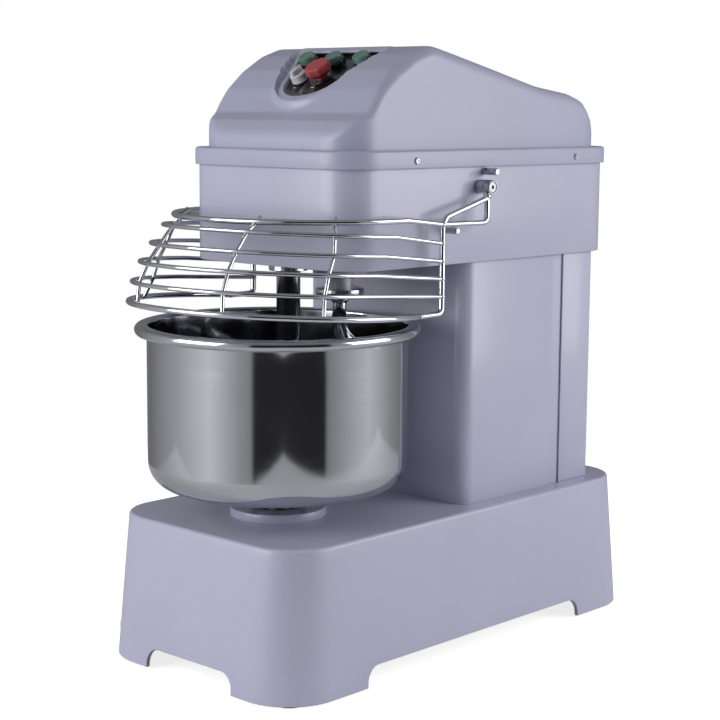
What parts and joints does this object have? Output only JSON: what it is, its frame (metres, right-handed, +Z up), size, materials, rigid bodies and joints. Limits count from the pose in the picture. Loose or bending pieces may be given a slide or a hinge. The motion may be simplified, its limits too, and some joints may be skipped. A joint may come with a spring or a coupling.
{
  "type": "commercial stand mixer",
  "caption": "Floor-standing spiral dough mixer with an overhanging drive head, turning steel bowl, spiral hook, breaker bar and hinged wire guard.",
  "frame": {"origin": "on the floor, at the middle of the box round the whole mixer", "axes": "+Z up, the bowl and the controls face -Y, +X to the right when facing the back"},
  "size_m": [0.4156, 0.8013, 0.85],
  "materials": {
    "body_paint": "smooth gloss stoving enamel, pale lavender grey",
    "cover_moulding": "gloss moulded cover, pale lavender grey",
    "polished_steel": "polished stainless steel",
    "guard_wire": "polished stainless wire",
    "guard_fitting": "turned steel",
    "zinc_fasteners": "zinc plated",
    "rubber": "matt black rubber",
    "black_plastic": "gloss black",
    "grey_steel": "grey primer",
    "cast_grey": "dark grey cast",
    "bearing_steel": "ground steel",
    "dark_steel": "oiled steel",
    "green_plastic": "green",
    "red_plastic": "red",
    "light_plastic": "white grey"
  },
  "bodies": {
    "root": {"base_shell": "body_paint", "rubber_feet": "rubber", "foot_bolts": "zinc_fasteners", "column_shell": "body_paint", "column_posts": "grey_steel", "column_bolts": "zinc_fasteners", "rear_cover": "body_paint", "rear_cover_screws": "zinc_fasteners", "cable_gland": "black_plastic", "head_shell": "body_paint", "head_floor_plate": "grey_steel", "head_bolts": "zinc_fasteners", "top_cover": "cover_moulding", "cover_screws": "zinc_fasteners", "control_panel": "black_plastic", "switch_blocks": "black_plastic", "control_box": "grey_steel", "hub_housing": "body_paint", "hub_bearings": "bearing_steel", "spindle_housing": "body_paint", "spindle_bearings": "bearing_steel", "counter_housings": "grey_steel", "counter_bearings": "bearing_steel", "motor_housing": "cast_grey", "motor_bracket": "grey_steel", "drive_belt": "rubber", "spindle_chain": "dark_steel", "bowl_chain": "dark_steel", "breaker_bar": "polished_steel", "breaker_bar_nut": "zinc_fasteners", "guard_pivot_bolts": "guard_fitting", "guard_stop_pins": "guard_fitting", "guard_rest_pins": "guard_fitting", "guard_switch": "black_plastic"},
    "bowl_unit": {"bowl": "polished_steel", "bowl_hub": "cast_grey", "bowl_shaft": "bearing_steel", "bowl_sprocket": "dark_steel"},
    "hook_unit": {"spiral_hook": "polished_steel", "hook_disc": "polished_steel", "spindle_shaft": "bearing_steel", "spindle_sprocket": "dark_steel"},
    "counter_unit": {"counter_shaft": "bearing_steel", "counter_pulley": "dark_steel", "counter_sprocket": "dark_steel", "counter_pinion": "dark_steel"},
    "motor_rotor": {"motor_shaft": "bearing_steel", "motor_pulley": "dark_steel"},
    "guard": {"guard_top_wire": "guard_wire", "guard_rings": "guard_wire", "guard_bottom_ring": "guard_wire", "guard_ribs": "guard_wire", "guard_side_wires": "guard_wire", "guard_top_plate": "guard_wire", "guard_bosses": "guard_fitting"},
    "left_button": {"button_left": "green_plastic"},
    "middle_button": {"button_middle": "green_plastic"},
    "right_button": {"button_right": "green_plastic"},
    "stop": {"stop_button": "red_plastic"},
    "selector": {"selector_knob": "light_plastic"}
  },
  "joints": [
    {"name": "counter_spin", "type": "hinge", "parent": "root", "child": "counter_unit", "pos_m": [0, 0.0588, 0.5], "axis": [0, 0, 1], "continuous": true},
    {"name": "bowl_spin", "type": "hinge", "parent": "root", "child": "bowl_unit", "pos_m": [0, -0.193, 0.247], "axis": [0, 0, 1], "continuous": true},
    {"name": "hook_spin", "type": "hinge", "parent": "root", "child": "hook_unit", "pos_m": [0.02771, -0.10004, 0.52], "axis": [0, 0, 1], "continuous": true},
    {"name": "motor_spin", "type": "hinge", "parent": "root", "child": "motor_rotor", "pos_m": [0, 0.2368, 0.64], "axis": [0, 0, 1], "continuous": true},
    {"name": "guard_swing", "type": "hinge", "parent": "root", "child": "guard", "pos_m": [0, 0.0368, 0.659], "axis": [-1, 0, 0], "range_deg": [0, 130]},
    {"name": "left_button_press", "type": "slide", "parent": "root", "child": "left_button", "axis": [0, 0.5592, -0.829], "range_m": [0, 0.004], "stiffness_N_per_m": 400, "springref_m": -0.002},
    {"name": "middle_button_press", "type": "slide", "parent": "root", "child": "middle_button", "axis": [0, 0.5592, -0.829], "range_m": [0, 0.004], "stiffness_N_per_m": 400, "springref_m": -0.002},
    {"name": "right_button_press", "type": "slide", "parent": "root", "child": "right_button", "axis": [0, 0.5592, -0.829], "range_m": [0, 0.004], "stiffness_N_per_m": 400, "springref_m": -0.002},
    {"name": "stop_press", "type": "slide", "parent": "root", "child": "stop", "axis": [0, 0.5592, -0.829], "range_m": [0, 0.005], "stiffness_N_per_m": 400, "springref_m": -0.002},
    {"name": "selector_turn", "type": "hinge", "parent": "root", "child": "selector", "pos_m": [-0.033, -0.11583, 0.80053], "axis": [0, -0.5592, 0.829], "range_deg": [-45, 45]}
  ],
  "couplings": [
    {"joint": "bowl_spin", "follows": "counter_spin", "ratio": 0.13235},
    {"joint": "hook_spin", "follows": "counter_spin", "ratio": 1},
    {"joint": "motor_spin", "follows": "counter_spin", "ratio": 4.3548}
  ]
}
